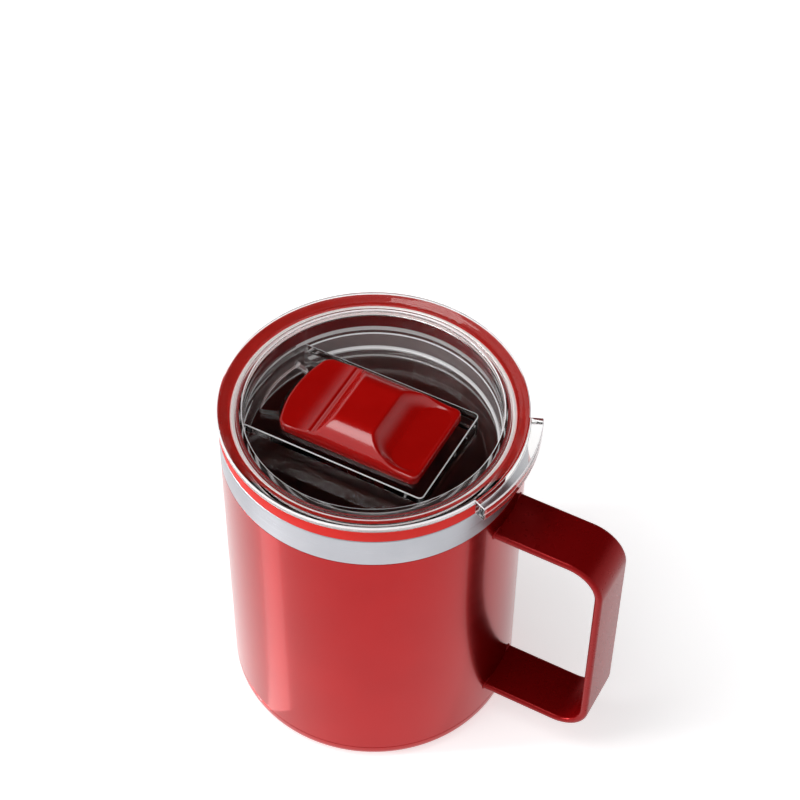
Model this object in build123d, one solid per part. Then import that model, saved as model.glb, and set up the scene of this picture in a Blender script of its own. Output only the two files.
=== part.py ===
"""Insulated travel mug with a press-in clear lid and a sliding drink shutter.

Millimetres, +Z up. The origin is the centre of the resting face of the base pad.
+X points along the handle and -X points to the drinking side of the lid.
"""
import math
import os

from build123d import *

os.makedirs("parts", exist_ok=True)

# ---- Steel body -------------------------------------------------------------
BODY_R = 45.2            # outside radius of the straight body
RIM_Z = 112.0            # height of the flat shoulder that the rim gasket sits on
SHELL_WALL = 0.6         # outer shell sheet
LINER_WALL = 0.6         # inner liner sheet
VACUUM_GAP = 3.6         # radial gap between liner and shell
LIP_RISE = 3.33          # rolled lip of the liner above the shoulder
LIP_ROLL = 1.2           # radial thickness of the rolled lip
BAND_HEIGHT = 10.42      # bare steel band above the paint line
SHOULDER_WALL = 0.8      # thickness of the shoulder that closes the vacuum gap
SHOULDER_EDGE = 0.5      # rounded outer edge of the shoulder
LIP_FLAT = 0.04          # flat left on top of the rolled lip
LINER_FLOOR_Z = 8.5      # inside floor of the cup
LINER_CORNER = 6.0       # inside corner radius of the cup floor

# ---- Base -------------------------------------------------------------------
PAD_BASE_THICK = 1.0     # silicone pad bonded under the base
PAD_BASE_INSET = 4.4     # pad inside the body's edge
BASE_CORNER = 3.4        # rolled bottom corner of the base cup
BASE_TOP_Z = 6.0         # weld line between base cup and painted shell
BASE_WALL = 0.6
PORT_RECESS_R = 12.0     # dished recess around the evacuation port
PORT_RECESS_RISE = 1.8
PORT_HOLE_R = 1.2
PORT_BEAD_R = 2.6
PORT_BEAD_H = 0.7
COVER_THICK = 0.5        # steel disc that hides the port
COVER_GAP = 0.15         # cover inside its recess
GETTER_R = 4.0
GETTER_H = 1.4
GETTER_X = 21.0          # distance of the getter pellet from the axis
GETTER_CLIP_WALL = 0.4
GETTER_CLIP_TOE = 2.0    # welded toes either side of the clip
GETTER_TOE_CORNER = 1.0
FOIL_GAP = 0.3           # foil wrap stands off the liner
FOIL_THICK = 0.2
FOIL_MARGIN = 9.0        # foil stops this far from the floor corner and the shoulder

# ---- Handle -----------------------------------------------------------------
HANDLE_DEPTH = 34.3      # outer face of the grip from the body
STRAP_THICK = 2.5
STRAP_WIDTH = 18.0
STRAP_EDGE = 1.0         # rounded edges of the strap
BEND_R = 11.5            # outer radius of the two bends
HANDLE_DROP = 17.07      # shoulder down to the top of the upper arm
GRIP_OPENING = 74.9      # height of the hand gap between the two arms
WELD_SIZE = 0.8          # fillet weld around each arm's root

# ---- Lid: heights are below the top of its flange ---------------------------
FLANGE_OVERHANG = 0.3    # flange beyond the body
FLANGE_THICK = 1.74
FLANGE_EDGE = 0.6        # rounded outer edge
BEAD_STEP = 0.3          # top face inside the raised outer bead
BEAD_FOOT = 3.3          # foot of the raised outer bead, inside the flange's edge
BEAD_SHOULDER = 2.4
RIM_GASKET_H = 4.53      # visible height of the rim gasket
RIM_GASKET_LAND = 0.4    # flat rim that carries the flange
FLANGE_ROOT = 2.75       # flange thickness where it meets the plug
FLANGE_CONE_IN = 0.8     # foot of the flange's cone, outside the rolled lip
WELL_STEP_DROP = 10.0    # small ledge in the well wall
WELL_STEP = 0.3
WELL_DRAFT = 0.2         # taper above and below the ledge
WELL_MOUTH_EDGE = 0.4
WELL_FLOOR_CORNER = 1.0
WELL_DEPTH = 16.0        # top of the well floor
FLOOR_THICK = 1.6
PLUG_WALL = 1.3
PLUG_CLEAR = 1.1         # plug inside the liner's bore
PLUG_SHOULDER = 0.7      # shoulder above the seal, proud of the plug
PLUG_RIB = 0.6           # rib below the seal, proud of the plug
PLUG_RIB_H = 1.1
PLUG_DEPTH = 20.5        # bottom edge of the skirt
PLUG_DRAFT = 0.4         # taper of the plug's outside below the seal
SEAL_TOP = 3.5           # seal groove, from the top of the flange
SEAL_HEIGHT = 4.5
SEAL_GROOVE = 0.3
SEAL_BODY = 0.9          # radial thickness of the plug gasket's body
SEAL_FINS = 2
SEAL_FIN = 0.5           # width of a fin's tip band
SEAL_SLOPE = 0.6         # height of the cone on each side of a fin
SEAL_LEAD = 0.9          # tapered top of the seal above its first fin
SEAL_LAND = 0.1          # the seal's top edge stands proud of the plug

# ---- Lid: raised slide bed --------------------------------------------------
BED_TOP = 8.7            # top of the bed and of its wall, below the flange top
BED_HALF_W = 15.25
TRACK_GROOVE = 1.6       # drip groove between bed and wall
TRACK_WALL = 1.35
TRACK_END_X = 25.6       # outside of the end wall
TRACK_GROOVE_DEPTH = 2.0
BED_PLATE = 1.4          # plate below the groove
BED_END_GAP = 1.05       # groove in front of the end wall
TRACK_CORNER = 1.6
TRACK_CORNER_IN = 0.8
BED_CORNER = 1.4
SPOUT_INSET = 3.6        # drink slot, an arc about the lid's axis, inside the well wall
SPOUT_WIDTH = 6.2
SPOUT_SIDE = 4.1         # from the slot's end to the bed's side
SPOUT_CORNER = 2.0
SPOUT_CHAMFER = 0.4

# ---- Lid: thumb tab ---------------------------------------------------------
TAB_HALF_ANGLE = 22.75
TAB_REACH = 3.9          # beyond the flange
TAB_DROP = 5.2
TAB_EDGE = 0.5
TAB_ROOT = 1.0           # the tab starts this far outside the plug

# ---- Slide shutter ----------------------------------------------------------
TRAVEL = 10.0            # open, as modelled, to shut over the drink slot
SLIDER_SIDE = 0.25       # shutter inside the bed's edge, each side
SLIDER_END_GAP = 2.45    # thumb end short of the end wall when open
NOSE_GAP = 1.5           # nose short of the well wall when shut
NOSE_FLATTER = 0.3       # nose arc's radius over that of a concentric one
SLIDER_CORNER = 2.4
PLATE_TOP = 6.0          # nose plate, below the flange top
STEP_TOP = 4.6           # top of the ramp behind the plate
HUMP_TOP = 0.6           # top of the hump
THUMB_LOW = 5.9          # lowest line of the thumb scoop
RAMP_X = (-16.5, -12.9)  # ramp from the plate to the step
HUMP_X = (-7.4, 5.0)     # flat of the hump
SCOOP_X = 11.5           # foot of the thumb scoop
PLATE_BLEND = 2.0
STEP_BLEND = 1.5
SCOOP_BLEND = 5.0
SLIDER_EDGE = 0.9        # rounded upper edges
LEG_X = ((-3.0, 0.0), (6.0, 9.0))
LEG_HALF_W = 2.85
LEG_BARB = 0.5
LEG_ROOT = 0.5           # legs run this far up into the shutter
RETAINER_MARGIN_X = 2.5
RETAINER_HALF_W = 6.5
RETAINER_THICK = 1.3
RETAINER_CORNER = 1.5
BARB_THICK = 0.7
PAD_MARGIN = 1.2         # silicone pad beyond the drink slot, all round
PAD_THICK = 1.3
PAD_PROUD = 0.08         # pad stands below the shutter

# ---- Clearances between pieces that move ------------------------------------
SLIDE_GAP = 0.2          # shutter above the bed
GUIDE_GAP = 0.15         # legs in the guide slot, each side
STOP_GAP = 0.1           # legs short of the guide slot's ends
SEAT_GAP = 0.05          # rim gasket on the shoulder, flange on the rim gasket
SEAL_GAP = 0.05          # plug gasket's fins in the liner
GROOVE_GAP = 0.05        # plug gasket in its groove, all round
LIP_GAP = 0.1            # rim gasket around the rolled lip

# ---- Sizes that follow from the ones above ----------------------------------
SHELL_R_IN = BODY_R - SHELL_WALL
LINER_R_OUT = SHELL_R_IN - VACUUM_GAP
LINER_R_IN = LINER_R_OUT - LINER_WALL
LIP_R_OUT = LINER_R_IN + LIP_ROLL
LIP_TOP_Z = RIM_Z + LIP_RISE
PAINT_LINE_Z = RIM_Z - BAND_HEIGHT
GASKET_Z = RIM_Z + SEAT_GAP
FLANGE_LOW_Z = GASKET_Z + RIM_GASKET_H + SEAT_GAP
LID_TOP_Z = FLANGE_LOW_Z + FLANGE_THICK
PAD_BASE_R = BODY_R - PAD_BASE_INSET
HANDLE_REACH = BODY_R + HANDLE_DEPTH
ARM_TOP_Z = RIM_Z - HANDLE_DROP
LOWER_ARM_TOP_Z = ARM_TOP_Z - STRAP_THICK - GRIP_OPENING
FLANGE_R = BODY_R + FLANGE_OVERHANG
BEAD_R_IN = FLANGE_R - BEAD_FOOT
BEAD_R_OUT = FLANGE_R - BEAD_SHOULDER
FLANGE_ROOT_Z = LID_TOP_Z - FLANGE_ROOT
CONE_R_OUT = BODY_R - RIM_GASKET_LAND
CONE_R_IN = LIP_R_OUT + FLANGE_CONE_IN
PLUG_R = LINER_R_IN - PLUG_CLEAR
WELL_R = PLUG_R - PLUG_WALL
TRACK_HALF_W = BED_HALF_W + TRACK_GROOVE + TRACK_WALL
SPOUT_R_OUT = WELL_R - SPOUT_INSET
SPOUT_R_IN = SPOUT_R_OUT - SPOUT_WIDTH
SPOUT_HALF_ANGLE = math.degrees(math.asin((BED_HALF_W - SPOUT_SIDE) / SPOUT_R_OUT))
SLIDER_HALF_W = BED_HALF_W - SLIDER_SIDE
SLIDER_END_X = TRACK_END_X - TRACK_WALL - SLIDER_END_GAP
SLIDER_NOSE_X = TRAVEL - (WELL_R - NOSE_GAP)
SLIDER_NOSE_R = WELL_R - NOSE_GAP + NOSE_FLATTER
BED_Z = LID_TOP_Z - BED_TOP
BED_LOW_Z = BED_Z - TRACK_GROOVE_DEPTH - BED_PLATE
FLOOR_Z = LID_TOP_Z - WELL_DEPTH
FLOOR_LOW_Z = FLOOR_Z - FLOOR_THICK
SKIRT_Z = LID_TOP_Z - PLUG_DEPTH
SLIDER_Z = BED_Z + SLIDE_GAP
RETAINER_TOP_Z = BED_LOW_Z - GUIDE_GAP
RETAINER_LOW_Z = RETAINER_TOP_Z - RETAINER_THICK
OVERCUT = 1.0            # cutting tools reach past the faces they cut
SOFT_EDGE = 0.3          # broken edges of mouldings and rubber


def profile(*corners):
    """Face in the XZ plane; a corner is (x, z) or (x, z, fillet radius)."""
    face = make_face(Polyline(*[corner[:2] for corner in corners], close=True))
    for corner in corners:
        if len(corner) == 3:
            vertex = face.vertices().sort_by_distance((corner[0], corner[1], 0))[0]
            face = fillet(vertex, corner[2])
    return Plane.XZ * face


def lathe(*corners):
    """Solid of revolution about the mug's axis, from an outline of (radius, z)."""
    return revolve(profile(*corners), Axis.Z)


def disc(radius, z_low, z_high, x=0.0):
    """Solid cylinder standing on z_low."""
    return Pos(x, 0, z_low) * extrude(Circle(radius), z_high - z_low)


def block(x_low, x_high, half_width, z_low, z_high, corner=0.0):
    """Upright block, centred on Y, with its vertical edges rounded."""
    plan = Rectangle(x_high - x_low, 2 * half_width)
    if corner:
        plan = fillet(plan.vertices(), corner)
    middle = (x_low + x_high) / 2
    return Pos(middle, 0, z_low) * extrude(plan, z_high - z_low)


def arc_sector(r_in, r_out, half_angle, z_low, z_high, corner=0.0, centre_x=0.0, toward=180.0):
    """Upright arc-shaped block about a centre on the X axis."""
    angle = math.radians(half_angle)
    ends = [(r * math.cos(angle), r * math.sin(angle)) for r in (r_in, r_out)]
    (x_in, y_in), (x_out, y_out) = ends
    outline = [
        ThreePointArc((x_in, -y_in), (r_in, 0), (x_in, y_in)),
        Line((x_in, y_in), (x_out, y_out)),
        ThreePointArc((x_out, y_out), (r_out, 0), (x_out, -y_out)),
        Line((x_out, -y_out), (x_in, -y_in)),
    ]
    plan = make_face(outline)
    if corner:
        plan = fillet(plan.vertices(), corner)
    return Pos(centre_x, 0, z_low) * Rot(0, 0, toward) * extrude(plan, z_high - z_low)


# ---- Steel body -------------------------------------------------------------
def make_rim_collar():
    """Bare steel mouth band with the flat shoulder that closes the vacuum gap."""
    return lathe(
        (SHELL_R_IN, PAINT_LINE_Z), (BODY_R, PAINT_LINE_Z), (BODY_R, RIM_Z, SHOULDER_EDGE),
        (LINER_R_OUT, RIM_Z), (LINER_R_OUT, RIM_Z - SHOULDER_WALL),
        (SHELL_R_IN, RIM_Z - SHOULDER_WALL),
    )


def make_outer_shell():
    """Painted straight shell between the base cup and the paint line."""
    return lathe(
        (SHELL_R_IN, BASE_TOP_Z), (BODY_R, BASE_TOP_Z),
        (BODY_R, PAINT_LINE_Z), (SHELL_R_IN, PAINT_LINE_Z),
    )


def make_inner_liner():
    """Deep-drawn cup with its lip rolled outwards above the shoulder."""
    under = LINER_FLOOR_Z - LINER_WALL
    roll = (LIP_ROLL - LIP_FLAT) / 2
    return lathe(
        (0, under), (LINER_R_OUT, under, LINER_CORNER + LINER_WALL),
        (LINER_R_OUT, RIM_Z), (LIP_R_OUT, RIM_Z),
        (LIP_R_OUT, LIP_TOP_Z, roll), (LINER_R_IN, LIP_TOP_Z, roll),
        (LINER_R_IN, LINER_FLOOR_Z, LINER_CORNER), (0, LINER_FLOOR_Z),
    )


def make_foil_wrap():
    """Radiation foil around the liner, inside the vacuum gap."""
    r_in = LINER_R_OUT + FOIL_GAP
    z_low = LINER_FLOOR_Z + LINER_CORNER
    z_high = RIM_Z - SHOULDER_WALL - FOIL_MARGIN
    return lathe((r_in, z_low), (r_in + FOIL_THICK, z_low), (r_in + FOIL_THICK, z_high), (r_in, z_high))


# ---- Base -------------------------------------------------------------------
def make_base_shell():
    """Bottom cup with a dished recess and the evacuation port."""
    low = PAD_BASE_THICK
    recess = low + PORT_RECESS_RISE
    return lathe(
        (PORT_HOLE_R, recess), (PORT_RECESS_R, recess), (PORT_RECESS_R, low),
        (BODY_R, low, BASE_CORNER), (BODY_R, BASE_TOP_Z), (SHELL_R_IN, BASE_TOP_Z),
        (SHELL_R_IN, low + BASE_WALL, BASE_CORNER - BASE_WALL),
        (PORT_RECESS_R + BASE_WALL, low + BASE_WALL),
        (PORT_RECESS_R + BASE_WALL, recess + BASE_WALL), (PORT_HOLE_R, recess + BASE_WALL),
    )


def make_port_bead():
    """Solder bead that plugs the evacuation port from below."""
    top = PAD_BASE_THICK + PORT_RECESS_RISE + BASE_WALL
    seat = PAD_BASE_THICK + PORT_RECESS_RISE
    return disc(PORT_HOLE_R, seat, top) + disc(PORT_BEAD_R, seat - PORT_BEAD_H, seat)


def make_port_cover():
    """Thin steel disc set flush in the recess."""
    return disc(PORT_RECESS_R - COVER_GAP, PAD_BASE_THICK, PAD_BASE_THICK + COVER_THICK)


def make_getter_pellet():
    """Getter pellet on the inside of the base cup."""
    seat = PAD_BASE_THICK + BASE_WALL
    return disc(GETTER_R, seat, seat + GETTER_H, GETTER_X)


def make_getter_clip():
    """Open steel cap spot-welded over the pellet by two toes."""
    seat = PAD_BASE_THICK + BASE_WALL
    top = seat + GETTER_H
    cap_r = GETTER_R + GETTER_CLIP_WALL
    cap = disc(cap_r, seat, top + GETTER_CLIP_WALL, GETTER_X)
    toes = block(GETTER_X - cap_r, GETTER_X + cap_r, cap_r + GETTER_CLIP_TOE,
                 seat, seat + GETTER_CLIP_WALL, GETTER_TOE_CORNER)
    window = disc(GETTER_R / 2, top - OVERCUT, top + OVERCUT, GETTER_X)
    return cap + toes - disc(GETTER_R, seat - OVERCUT, top, GETTER_X) - window


def make_base_pad():
    """Non-slip silicone disc bonded under the base."""
    return lathe((0, 0), (PAD_BASE_R, 0, SOFT_EDGE), (PAD_BASE_R, PAD_BASE_THICK), (0, PAD_BASE_THICK))


# ---- Handle -----------------------------------------------------------------
def handle_bar():
    """Flat strap bent twice, running into the body at both ends."""
    mid_x = HANDLE_REACH - STRAP_THICK / 2
    top = ARM_TOP_Z - STRAP_THICK / 2
    low = LOWER_ARM_TOP_Z - STRAP_THICK / 2
    root = SHELL_R_IN - 4 * STRAP_THICK
    path = Plane.XZ * FilletPolyline(
        (root, top), (mid_x, top), (mid_x, low), (root, low), radius=BEND_R - STRAP_THICK / 2,
    )
    section = Rectangle(STRAP_WIDTH, STRAP_THICK)
    section = fillet(section.vertices(), STRAP_EDGE)
    start = Plane(origin=(root, 0, top), x_dir=(0, 1, 0), z_dir=(1, 0, 0))
    return sweep(start * section, path=path)


def outside_body(solid):
    """What is left of a solid outside the straight body."""
    return solid - disc(BODY_R, -OVERCUT, RIM_Z)


def make_handle_strap():
    """Strap coped to the body."""
    return outside_body(handle_bar())


def make_handle_weld(arm_top_z):
    """Fillet weld around the root of one arm."""
    centre = arm_top_z - STRAP_THICK / 2
    half_w = STRAP_WIDTH / 2 + WELD_SIZE
    half_h = STRAP_THICK / 2 + WELD_SIZE
    saddle = disc(BODY_R + WELD_SIZE, centre - half_h, centre + half_h)
    window = block(0, BODY_R + 2 * WELD_SIZE, half_w, centre - half_h, centre + half_h)
    return outside_body(saddle & window) - handle_bar()


# ---- Lid --------------------------------------------------------------------
def make_rim_gasket():
    """Silicone ring between the flange and the steel shoulder."""
    r_in = LIP_R_OUT + LIP_GAP
    top = GASKET_Z + RIM_GASKET_H
    root = FLANGE_ROOT_Z - SEAT_GAP
    return lathe(
        (r_in, GASKET_Z), (BODY_R, GASKET_Z, SOFT_EDGE), (BODY_R, top, SOFT_EDGE / 2),
        (CONE_R_OUT, top), (CONE_R_IN, root), (r_in, root),
    )


def lid_round():
    """Flange, plug wall, well floor and skirt as one solid of revolution."""
    top = LID_TOP_Z
    groove_low = top - SEAL_TOP - SEAL_HEIGHT
    ledge = top - WELL_STEP_DROP
    ledge_r = WELL_R - WELL_DRAFT
    floor_r = ledge_r - WELL_STEP - WELL_DRAFT
    shoulder_r = PLUG_R + PLUG_SHOULDER
    rib_low = groove_low - PLUG_RIB_H
    return lathe(
        (WELL_R, top - BEAD_STEP, WELL_MOUTH_EDGE), (BEAD_R_IN, top - BEAD_STEP), (BEAD_R_OUT, top),
        (FLANGE_R, top, FLANGE_EDGE), (FLANGE_R, FLANGE_LOW_Z, SOFT_EDGE),
        (CONE_R_OUT, FLANGE_LOW_Z), (CONE_R_IN, FLANGE_ROOT_Z),
        (shoulder_r, FLANGE_ROOT_Z), (shoulder_r, top - SEAL_TOP),
        (PLUG_R - SEAL_GROOVE, top - SEAL_TOP), (PLUG_R - SEAL_GROOVE, groove_low),
        (PLUG_R + PLUG_RIB, groove_low), (PLUG_R + PLUG_RIB, rib_low),
        (PLUG_R, rib_low - PLUG_RIB), (PLUG_R - PLUG_DRAFT, SKIRT_Z, SOFT_EDGE),
        (floor_r, SKIRT_Z, SOFT_EDGE),
        (floor_r, FLOOR_LOW_Z), (0, FLOOR_LOW_Z), (0, FLOOR_Z), (floor_r, FLOOR_Z, WELL_FLOOR_CORNER),
        (ledge_r - WELL_STEP, ledge - WELL_STEP), (ledge_r, ledge),
    )


def lid_tab():
    """Thumb tab over the handle."""
    tab = arc_sector(PLUG_R + TAB_ROOT, FLANGE_R + TAB_REACH, TAB_HALF_ANGLE,
                     LID_TOP_Z - TAB_DROP, LID_TOP_Z, 0.0, 0.0, 0.0)
    upright = tab.edges().filter_by(Axis.Z).sort_by(Axis.X)[-2:]
    tab = fillet(upright, TAB_EDGE)
    under = disc(FLANGE_R, LID_TOP_Z - TAB_DROP - OVERCUT, FLANGE_LOW_Z)
    over = disc(BEAD_R_OUT, LID_TOP_Z - BEAD_STEP, LID_TOP_Z + OVERCUT)
    return tab - under - over


def track_solid():
    """Raised box for the slide bed, still filled, trimmed to the plug."""
    far = -PLUG_R
    box = block(far - TRACK_CORNER, TRACK_END_X, TRACK_HALF_W, FLOOR_LOW_Z, BED_Z, TRACK_CORNER)
    return box & disc(WELL_R, FLOOR_LOW_Z, BED_Z)


def track_cuts():
    """Drip groove round the bed and the hollow below it."""
    inner_w = BED_HALF_W + TRACK_GROOVE
    inner_x = TRACK_END_X - TRACK_WALL
    far = -PLUG_R
    groove_z = BED_Z - TRACK_GROOVE_DEPTH
    well = disc(WELL_R - WELL_DRAFT - WELL_STEP, FLOOR_LOW_Z - OVERCUT, LID_TOP_Z)
    channel = block(far - TRACK_CORNER, inner_x, inner_w, groove_z, BED_Z + OVERCUT,
                    TRACK_CORNER_IN)
    bed = block(far - TRACK_CORNER, inner_x - BED_END_GAP, BED_HALF_W, groove_z - OVERCUT, BED_Z,
                BED_CORNER)
    hollow = block(far, inner_x, inner_w, FLOOR_LOW_Z - OVERCUT, BED_LOW_Z, TRACK_CORNER_IN)
    trimmed = disc(WELL_R - WELL_DRAFT - WELL_STEP - WELL_DRAFT, FLOOR_LOW_Z - OVERCUT, LID_TOP_Z)
    return ((channel - bed) & well) + (hollow & trimmed)


def spout_cut(margin=0.0, z_low=BED_LOW_Z - OVERCUT, z_high=BED_Z + OVERCUT, centre_x=0.0):
    """Arc of the drink slot, grown by a margin."""
    grow = math.degrees(margin / SPOUT_R_OUT)
    return arc_sector(SPOUT_R_IN - margin, SPOUT_R_OUT + margin, SPOUT_HALF_ANGLE + grow,
                      z_low, z_high, SPOUT_CORNER, centre_x)


def guide_cut():
    """Slot in the bed for the shutter's legs; its ends are the travel stops."""
    x_low = LEG_X[0][0] - TRAVEL - STOP_GAP
    x_high = LEG_X[1][1] + STOP_GAP
    return block(x_low, x_high, LEG_HALF_W + GUIDE_GAP, BED_LOW_Z - OVERCUT, BED_Z + OVERCUT)


def make_lid_shell():
    """Clear one-piece lid: flange, well, raised slide bed, drink slot and thumb tab."""
    lid = lid_round() + track_solid() - track_cuts()
    rim = SPOUT_CHAMFER
    lead_in = spout_cut(rim, BED_Z - rim, BED_Z + OVERCUT)
    return lid - spout_cut() - lead_in - guide_cut() + lid_tab()


def make_plug_gasket():
    """Silicone plug seal with two fins that wipe the liner."""
    r_in = PLUG_R - SEAL_GROOVE + GROOVE_GAP
    r_body = r_in + SEAL_BODY
    r_fin = LINER_R_IN - SEAL_GAP
    top = LID_TOP_Z - SEAL_TOP - GROOVE_GAP
    low = top - SEAL_HEIGHT + 2 * GROOVE_GAP
    outline = [(r_in, top), (PLUG_R + SEAL_LAND, top), (r_body, top - SEAL_LEAD)]
    pitch = (SEAL_HEIGHT - SEAL_LEAD) / SEAL_FINS
    for fin in range(SEAL_FINS):
        tip = top - SEAL_LEAD - SEAL_SLOPE / 2 - fin * pitch
        outline += [(r_body, tip), (r_fin, tip - SEAL_SLOPE / 2),
                    (r_fin, tip - SEAL_SLOPE / 2 - SEAL_FIN), (r_body, tip - SEAL_SLOPE - SEAL_FIN)]
    outline += [(r_body, low), (r_in, low)]
    return lathe(*outline)


# ---- Slide shutter ----------------------------------------------------------
def shutter_plan(z_low, z_high):
    """Plan of the shutter: curved nose, straight sides, square thumb end."""
    nose_x = SLIDER_NOSE_X + SLIDER_NOSE_R
    shoulder_x = nose_x - math.sqrt(SLIDER_NOSE_R ** 2 - SLIDER_HALF_W ** 2)
    plan = make_face([
        ThreePointArc((shoulder_x, -SLIDER_HALF_W), (SLIDER_NOSE_X, 0), (shoulder_x, SLIDER_HALF_W)),
        Line((shoulder_x, SLIDER_HALF_W), (SLIDER_END_X, SLIDER_HALF_W)),
        Line((SLIDER_END_X, SLIDER_HALF_W), (SLIDER_END_X, -SLIDER_HALF_W)),
        Line((SLIDER_END_X, -SLIDER_HALF_W), (shoulder_x, -SLIDER_HALF_W)),
    ])
    plan = fillet(plan.vertices(), SLIDER_CORNER)
    return Pos(0, 0, z_low) * extrude(plan, z_high - z_low)


def shutter_side():
    """Side outline of the shutter: nose plate, ramp, hump, thumb scoop."""
    top = LID_TOP_Z
    x_low, x_high = SLIDER_NOSE_X - OVERCUT, SLIDER_END_X + OVERCUT
    outline = profile(
        (x_low, SLIDER_Z), (x_low, top - PLATE_TOP), (RAMP_X[0], top - PLATE_TOP, PLATE_BLEND),
        (RAMP_X[1], top - STEP_TOP, STEP_BLEND), (HUMP_X[0], top - HUMP_TOP, STEP_BLEND),
        (HUMP_X[1], top - HUMP_TOP, STEP_BLEND), (SCOOP_X, top - THUMB_LOW, SCOOP_BLEND),
        (x_high, top - THUMB_LOW), (x_high, SLIDER_Z),
    )
    return extrude(outline, SLIDER_HALF_W + OVERCUT, both=True)


def shutter_legs():
    """Two snap legs that pass through the guide slot and the retainer."""
    tip = RETAINER_LOW_Z - BARB_THICK
    legs = []
    for (x_low, x_high), side in zip(LEG_X, (-1, 1)):
        barb_low = x_low - (LEG_BARB if side < 0 else 0)
        barb_high = x_high + (LEG_BARB if side > 0 else 0)
        legs.append(block(x_low, x_high, LEG_HALF_W, tip, SLIDER_Z + LEG_ROOT))
        legs.append(block(barb_low, barb_high, LEG_HALF_W, tip, RETAINER_LOW_Z))
    return legs


def pad_cut(depth):
    """Recess for the silicone pad in the underside of the nose."""
    return spout_cut(PAD_MARGIN, SLIDER_Z - OVERCUT, SLIDER_Z + depth, TRAVEL)


def make_slider_cap():
    """Red shutter with snap legs."""
    body = shutter_plan(SLIDER_Z, LID_TOP_Z) & shutter_side()
    upper = body.edges().filter_by(lambda e: e.center().Z > SLIDER_Z + 1.0 and e.length > 0.5)
    sides = upper.filter_by(lambda e: abs(abs(e.center().Y) - SLIDER_HALF_W) < 0.01)
    body = fillet(sides.filter_by(lambda e: abs(e.tangent_at(0.5).Z) < 0.999), SLIDER_EDGE)
    for leg in shutter_legs():
        body = body + leg
    return body - pad_cut(PAD_THICK - PAD_PROUD)


def make_slider_pad():
    """Silicone pad that closes the drink slot."""
    return spout_cut(PAD_MARGIN, SLIDER_Z - PAD_PROUD, SLIDER_Z + PAD_THICK - PAD_PROUD, TRAVEL)


def make_slider_retainer():
    """Keeper plate snapped on the legs below the bed."""
    x_low = LEG_X[0][0] - RETAINER_MARGIN_X
    x_high = LEG_X[1][1] + RETAINER_MARGIN_X
    plate = block(x_low, x_high, RETAINER_HALF_W, RETAINER_LOW_Z, RETAINER_TOP_Z, RETAINER_CORNER)
    for leg_low, leg_high in LEG_X:
        plate = plate - block(leg_low, leg_high, LEG_HALF_W,
                              RETAINER_LOW_Z - OVERCUT, RETAINER_TOP_Z + OVERCUT)
    return plate


NODES = {
    "rim_collar": make_rim_collar,
    "outer_shell": make_outer_shell,
    "inner_liner": make_inner_liner,
    "foil_wrap": make_foil_wrap,
    "base_shell": make_base_shell,
    "port_bead": make_port_bead,
    "port_cover": make_port_cover,
    "getter_pellet": make_getter_pellet,
    "getter_clip": make_getter_clip,
    "base_pad": make_base_pad,
    "handle_strap": make_handle_strap,
    "handle_weld_upper": lambda: make_handle_weld(ARM_TOP_Z),
    "handle_weld_lower": lambda: make_handle_weld(LOWER_ARM_TOP_Z),
    "rim_gasket": make_rim_gasket,
    "lid_shell": make_lid_shell,
    "plug_gasket": make_plug_gasket,
    "slider_cap": make_slider_cap,
    "slider_pad": make_slider_pad,
    "slider_retainer": make_slider_retainer,
}

for node, make in NODES.items():
    export_step(make(), f"parts/{node}.step")
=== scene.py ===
"""Looks of an insulated travel mug: steel body, strap handle, clear lid and sliding shutter.

Lengths are in millimetres until a piece is finished, when its mesh is scaled to metres. The
datums are measured from the fixed frame, so every piece sits where the frame has it.
"""
import logging
import math
from dataclasses import dataclass, field
from enum import Enum
from typing import Sequence

import bmesh
import bpy
from mathutils import Matrix, Vector

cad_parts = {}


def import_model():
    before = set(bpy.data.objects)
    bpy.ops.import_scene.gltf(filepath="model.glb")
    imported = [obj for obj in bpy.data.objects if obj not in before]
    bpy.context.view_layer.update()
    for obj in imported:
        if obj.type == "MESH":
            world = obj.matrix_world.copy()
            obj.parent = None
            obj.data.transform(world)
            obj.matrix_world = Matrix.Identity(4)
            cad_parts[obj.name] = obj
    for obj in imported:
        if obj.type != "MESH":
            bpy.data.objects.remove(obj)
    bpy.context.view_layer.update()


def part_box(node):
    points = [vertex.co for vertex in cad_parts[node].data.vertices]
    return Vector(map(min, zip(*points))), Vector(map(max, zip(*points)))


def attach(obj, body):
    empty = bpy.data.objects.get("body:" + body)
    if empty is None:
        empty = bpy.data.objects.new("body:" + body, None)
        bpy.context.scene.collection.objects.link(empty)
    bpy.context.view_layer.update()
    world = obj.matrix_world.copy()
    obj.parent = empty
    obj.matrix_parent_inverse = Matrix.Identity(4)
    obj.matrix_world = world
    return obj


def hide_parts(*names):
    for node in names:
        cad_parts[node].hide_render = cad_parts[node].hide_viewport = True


LOG = logging.getLogger("travel_mug")
MM = 0.001
TURN_STEPS = 240
ARC_STEPS = 6
BLOCK_STEPS = 28
DRUM_STEPS = 120
SHARP_TURN = 60.0
OVERCUT = 3.0
THROUGH = 1.0
# Lid material slots: 1 holds a pinkish painted reflection for upright walls, 2 a glowing painted
# highlight for edges.
PAINTED_REFLECTION_SLOT = 1
PAINTED_HIGHLIGHT_SLOT = 2
WELD_DISTANCE = 1e-4


class Cut(Enum):
    """How a tool solid acts on the solid being worked."""

    ADD = "UNION"
    REMOVE = "DIFFERENCE"
    KEEP = "INTERSECT"


class Grain(Enum):
    """Direction in which a metal surface is brushed, as the noise scale on each axis."""

    AROUND = (3.0, 3.0, 900.0)
    ALONG = (60.0, 900.0, 60.0)
    NONE = (60.0, 60.0, 60.0)


@dataclass(frozen=True)
class Corner:
    """One corner of an outline, with an optional fillet.

    Attributes:
        a: First coordinate, usually the radius.
        b: Second coordinate, usually the height.
        fillet: Radius of the rounding, or 0 for a sharp corner.
    """

    a: float
    b: float
    fillet: float = 0.0


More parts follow.
